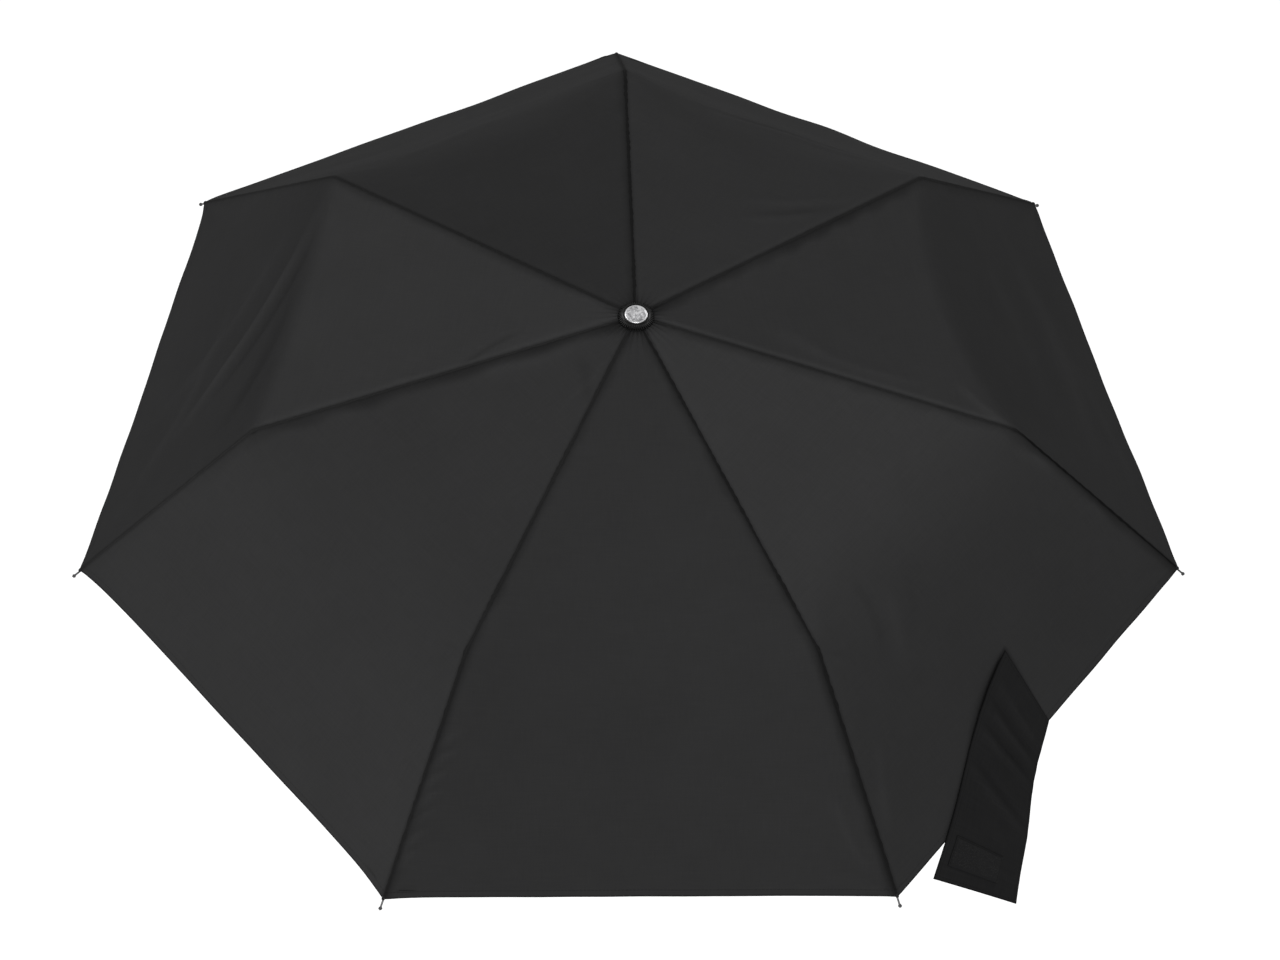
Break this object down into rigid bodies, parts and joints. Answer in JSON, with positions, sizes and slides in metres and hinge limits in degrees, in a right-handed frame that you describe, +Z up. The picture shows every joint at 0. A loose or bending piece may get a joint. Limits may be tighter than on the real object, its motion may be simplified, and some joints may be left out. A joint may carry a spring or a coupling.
{
  "type": "folding umbrella",
  "caption": "Compact folding umbrella, opened: telescoping shaft, three-fold ribs, black cloth canopy with a wide closing strap, capped top.",
  "frame": {"origin": "centre of the handle's flat base", "axes": "+Z up the shaft towards the cap, -Y towards the viewer with the runner button facing -Y, rib 1 lies along +Y and the ribs are numbered counterclockwise seen from above"},
  "size_m": [0.9268, 0.9037, 0.5591],
  "materials": {
    "shaft_steel": "bright plated steel tube",
    "rib_steel": "black coated steel",
    "grip_plastic": "soft-touch black",
    "black_plastic": "satin black moulding",
    "cap_silver": "lightly scratched satin silver",
    "canopy_cloth": "plain-weave black polyester",
    "strap_cloth": "doubled black polyester",
    "hook_tape": "black hook tape"
  },
  "bodies": {
    "handle": {"handle_grip": "grip_plastic", "handle_collar": "black_plastic", "handle_end_cap": "black_plastic", "lower_tube": "shaft_steel"},
    "middle_shaft": {"middle_tube": "shaft_steel"},
    "upper_shaft": {"upper_tube": "shaft_steel", "top_notch": "black_plastic", "notch_wire": "shaft_steel", "top_cap": "black_plastic", "cap_disc": "cap_silver", "canopy_gore_1": "canopy_cloth", "canopy_gore_2": "canopy_cloth", "canopy_gore_3": "canopy_cloth", "canopy_gore_4": "canopy_cloth", "canopy_gore_5": "canopy_cloth", "canopy_gore_6": "canopy_cloth", "canopy_gore_7": "canopy_cloth", "closure_strap": "strap_cloth", "strap_patch": "hook_tape"},
    "runner_body": {"runner": "black_plastic", "runner_wire": "shaft_steel", "button_spring": "shaft_steel"},
    "button": {"runner_button": "black_plastic"},
    "top_rib_1": {"top_rib_1": "rib_steel"},
    "stretcher_1": {"stretcher_1": "rib_steel"},
    "middle_rib_1": {"middle_rib_1": "rib_steel"},
    "outer_rib_1": {"outer_rib_1": "rib_steel"},
    "top_rib_2": {"top_rib_2": "rib_steel"},
    "stretcher_2": {"stretcher_2": "rib_steel"},
    "middle_rib_2": {"middle_rib_2": "rib_steel"},
    "outer_rib_2": {"outer_rib_2": "rib_steel"},
    "top_rib_3": {"top_rib_3": "rib_steel"},
    "stretcher_3": {"stretcher_3": "rib_steel"},
    "middle_rib_3": {"middle_rib_3": "rib_steel"},
    "outer_rib_3": {"outer_rib_3": "rib_steel"},
    "top_rib_4": {"top_rib_4": "rib_steel"},
    "stretcher_4": {"stretcher_4": "rib_steel"},
    "middle_rib_4": {"middle_rib_4": "rib_steel"},
    "outer_rib_4": {"outer_rib_4": "rib_steel"},
    "top_rib_5": {"top_rib_5": "rib_steel"},
    "stretcher_5": {"stretcher_5": "rib_steel"},
    "middle_rib_5": {"middle_rib_5": "rib_steel"},
    "outer_rib_5": {"outer_rib_5": "rib_steel"},
    "top_rib_6": {"top_rib_6": "rib_steel"},
    "stretcher_6": {"stretcher_6": "rib_steel"},
    "middle_rib_6": {"middle_rib_6": "rib_steel"},
    "outer_rib_6": {"outer_rib_6": "rib_steel"},
    "top_rib_7": {"top_rib_7": "rib_steel"},
    "stretcher_7": {"stretcher_7": "rib_steel"},
    "middle_rib_7": {"middle_rib_7": "rib_steel"},
    "outer_rib_7": {"outer_rib_7": "rib_steel"}
  },
  "joints": [
    {"name": "lower_slide", "type": "slide", "parent": "handle", "child": "middle_shaft", "axis": [0, 0, -1], "range_m": [0, 0.135]},
    {"name": "upper_slide", "type": "slide", "parent": "middle_shaft", "child": "upper_shaft", "axis": [0, 0, -1], "range_m": [0, 0.135]},
    {"name": "fold", "type": "hinge", "parent": "upper_shaft", "child": "top_rib_1", "pos_m": [0, 0.009, 0.549], "axis": [-1, 0, 0], "range_deg": [0, 78.3], "deforming": ["canopy_gore_1", "canopy_gore_2", "canopy_gore_3", "canopy_gore_4", "canopy_gore_5", "canopy_gore_6", "canopy_gore_7", "closure_strap", "strap_patch"]},
    {"name": "stretcher_1_fold", "type": "hinge", "parent": "top_rib_1", "child": "stretcher_1", "pos_m": [0, 0.10235, 0.53136], "axis": [-1, 0, 0], "range_deg": [-156.62, 0]},
    {"name": "middle_rib_1_fold", "type": "hinge", "parent": "top_rib_1", "child": "middle_rib_1", "pos_m": [0, 0.16386, 0.52299], "axis": [-1, 0, 0], "range_deg": [-178.02, 0]},
    {"name": "outer_rib_1_fold", "type": "hinge", "parent": "middle_rib_1", "child": "outer_rib_1", "pos_m": [0, 0.32018, 0.4904], "axis": [-1, 0, 0], "range_deg": [0, 145.81]},
    {"name": "top_rib_2_fold", "type": "hinge", "parent": "upper_shaft", "child": "top_rib_2", "pos_m": [-0.00704, 0.00561, 0.549], "axis": [-0.6235, -0.7818, 0], "range_deg": [0, 78.32]},
    {"name": "stretcher_2_fold", "type": "hinge", "parent": "top_rib_2", "child": "stretcher_2", "pos_m": [-0.08002, 0.06381, 0.53136], "axis": [-0.6235, -0.7818, 0], "range_deg": [-156.62, 0]},
    {"name": "middle_rib_2_fold", "type": "hinge", "parent": "top_rib_2", "child": "middle_rib_2", "pos_m": [-0.12811, 0.10217, 0.52299], "axis": [-0.6235, -0.7818, 0], "range_deg": [-178.02, 0]},
    {"name": "outer_rib_2_fold", "type": "hinge", "parent": "middle_rib_2", "child": "outer_rib_2", "pos_m": [-0.25033, 0.19963, 0.4904], "axis": [-0.6235, -0.7818, 0], "range_deg": [0, 145.81]},
    {"name": "top_rib_3_fold", "type": "hinge", "parent": "upper_shaft", "child": "top_rib_3", "pos_m": [-0.00877, -0.002, 0.549], "axis": [0.2225, -0.9749, 0], "range_deg": [0, 78.32]},
    {"name": "stretcher_3_fold", "type": "hinge", "parent": "top_rib_3", "child": "stretcher_3", "pos_m": [-0.09978, -0.02277, 0.53136], "axis": [0.2225, -0.9749, 0], "range_deg": [-156.62, 0]},
    {"name": "middle_rib_3_fold", "type": "hinge", "parent": "top_rib_3", "child": "middle_rib_3", "pos_m": [-0.15976, -0.03646, 0.52299], "axis": [0.2225, -0.9749, 0], "range_deg": [-178.02, 0]},
    {"name": "outer_rib_3_fold", "type": "hinge", "parent": "middle_rib_3", "child": "outer_rib_3", "pos_m": [-0.31216, -0.07125, 0.4904], "axis": [0.2225, -0.9749, 0], "range_deg": [0, 145.81]},
    {"name": "top_rib_4_fold", "type": "hinge", "parent": "upper_shaft", "child": "top_rib_4", "pos_m": [-0.00391, -0.00811, 0.549], "axis": [0.901, -0.4339, 0], "range_deg": [0, 78.32]},
    {"name": "stretcher_4_fold", "type": "hinge", "parent": "top_rib_4", "child": "stretcher_4", "pos_m": [-0.04441, -0.09221, 0.53136], "axis": [0.901, -0.4339, 0], "range_deg": [-156.62, 0]},
    {"name": "middle_rib_4_fold", "type": "hinge", "parent": "top_rib_4", "child": "middle_rib_4", "pos_m": [-0.0711, -0.14764, 0.52299], "axis": [0.901, -0.4339, 0], "range_deg": [-178.02, 0]},
    {"name": "outer_rib_4_fold", "type": "hinge", "parent": "middle_rib_4", "child": "outer_rib_4", "pos_m": [-0.13892, -0.28847, 0.4904], "axis": [0.901, -0.4339, 0], "range_deg": [0, 145.81]},
    {"name": "top_rib_5_fold", "type": "hinge", "parent": "upper_shaft", "child": "top_rib_5", "pos_m": [0.00391, -0.00811, 0.549], "axis": [0.901, 0.4339, 0], "range_deg": [0, 78.32]},
    {"name": "stretcher_5_fold", "type": "hinge", "parent": "top_rib_5", "child": "stretcher_5", "pos_m": [0.04441, -0.09221, 0.53136], "axis": [0.901, 0.4339, 0], "range_deg": [-156.62, 0]},
    {"name": "middle_rib_5_fold", "type": "hinge", "parent": "top_rib_5", "child": "middle_rib_5", "pos_m": [0.0711, -0.14764, 0.52299], "axis": [0.901, 0.4339, 0], "range_deg": [-178.02, 0]},
    {"name": "outer_rib_5_fold", "type": "hinge", "parent": "middle_rib_5", "child": "outer_rib_5", "pos_m": [0.13892, -0.28847, 0.4904], "axis": [0.901, 0.4339, 0], "range_deg": [0, 145.81]},
    {"name": "top_rib_6_fold", "type": "hinge", "parent": "upper_shaft", "child": "top_rib_6", "pos_m": [0.00877, -0.002, 0.549], "axis": [0.2225, 0.9749, 0], "range_deg": [0, 78.32]},
    {"name": "stretcher_6_fold", "type": "hinge", "parent": "top_rib_6", "child": "stretcher_6", "pos_m": [0.09978, -0.02277, 0.53136], "axis": [0.2225, 0.9749, 0], "range_deg": [-156.62, 0]},
    {"name": "middle_rib_6_fold", "type": "hinge", "parent": "top_rib_6", "child": "middle_rib_6", "pos_m": [0.15976, -0.03646, 0.52299], "axis": [0.2225, 0.9749, 0], "range_deg": [-178.02, 0]},
    {"name": "outer_rib_6_fold", "type": "hinge", "parent": "middle_rib_6", "child": "outer_rib_6", "pos_m": [0.31216, -0.07125, 0.4904], "axis": [0.2225, 0.9749, 0], "range_deg": [0, 145.81]},
    {"name": "top_rib_7_fold", "type": "hinge", "parent": "upper_shaft", "child": "top_rib_7", "pos_m": [0.00704, 0.00561, 0.549], "axis": [-0.6235, 0.7818, 0], "range_deg": [0, 78.32]},
    {"name": "stretcher_7_fold", "type": "hinge", "parent": "top_rib_7", "child": "stretcher_7", "pos_m": [0.08002, 0.06381, 0.53136], "axis": [-0.6235, 0.7818, 0], "range_deg": [-156.62, 0]},
    {"name": "middle_rib_7_fold", "type": "hinge", "parent": "top_rib_7", "child": "middle_rib_7", "pos_m": [0.12811, 0.10217, 0.52299], "axis": [-0.6235, 0.7818, 0], "range_deg": [-178.02, 0]},
    {"name": "outer_rib_7_fold", "type": "hinge", "parent": "middle_rib_7", "child": "outer_rib_7", "pos_m": [0.25033, 0.19963, 0.4904], "axis": [-0.6235, 0.7818, 0], "range_deg": [0, 145.81]},
    {"name": "runner_fold", "type": "hinge", "parent": "stretcher_1", "child": "runner_body", "pos_m": [0, 0.009, 0.51372], "axis": [-1, 0, 0], "range_deg": [0, 78.32]},
    {"name": "button_press", "type": "slide", "parent": "runner_body", "child": "button", "axis": [0, 1, 0], "range_m": [0, 0.0015], "stiffness_N_per_m": 1500, "springref_m": -0.0006, "deforming": ["button_spring"]}
  ],
  "couplings": [
    {"joint": "stretcher_1_fold", "follows": "fold", "ratio": -2},
    {"joint": "middle_rib_1_fold", "follows": "fold", "ratio": -2.2733},
    {"joint": "outer_rib_1_fold", "follows": "fold", "ratio": 1.862},
    {"joint": "top_rib_2_fold", "follows": "fold", "ratio": 1},
    {"joint": "stretcher_2_fold", "follows": "fold", "ratio": -2},
    {"joint": "middle_rib_2_fold", "follows": "fold", "ratio": -2.2733},
    {"joint": "outer_rib_2_fold", "follows": "fold", "ratio": 1.862},
    {"joint": "top_rib_3_fold", "follows": "fold", "ratio": 1},
    {"joint": "stretcher_3_fold", "follows": "fold", "ratio": -2},
    {"joint": "middle_rib_3_fold", "follows": "fold", "ratio": -2.2733},
    {"joint": "outer_rib_3_fold", "follows": "fold", "ratio": 1.862},
    {"joint": "top_rib_4_fold", "follows": "fold", "ratio": 1},
    {"joint": "stretcher_4_fold", "follows": "fold", "ratio": -2},
    {"joint": "middle_rib_4_fold", "follows": "fold", "ratio": -2.2733},
    {"joint": "outer_rib_4_fold", "follows": "fold", "ratio": 1.862},
    {"joint": "top_rib_5_fold", "follows": "fold", "ratio": 1},
    {"joint": "stretcher_5_fold", "follows": "fold", "ratio": -2},
    {"joint": "middle_rib_5_fold", "follows": "fold", "ratio": -2.2733},
    {"joint": "outer_rib_5_fold", "follows": "fold", "ratio": 1.862},
    {"joint": "top_rib_6_fold", "follows": "fold", "ratio": 1},
    {"joint": "stretcher_6_fold", "follows": "fold", "ratio": -2},
    {"joint": "middle_rib_6_fold", "follows": "fold", "ratio": -2.2733},
    {"joint": "outer_rib_6_fold", "follows": "fold", "ratio": 1.862},
    {"joint": "top_rib_7_fold", "follows": "fold", "ratio": 1},
    {"joint": "stretcher_7_fold", "follows": "fold", "ratio": -2},
    {"joint": "middle_rib_7_fold", "follows": "fold", "ratio": -2.2733},
    {"joint": "outer_rib_7_fold", "follows": "fold", "ratio": 1.862},
    {"joint": "runner_fold", "follows": "fold", "ratio": 1}
  ]
}
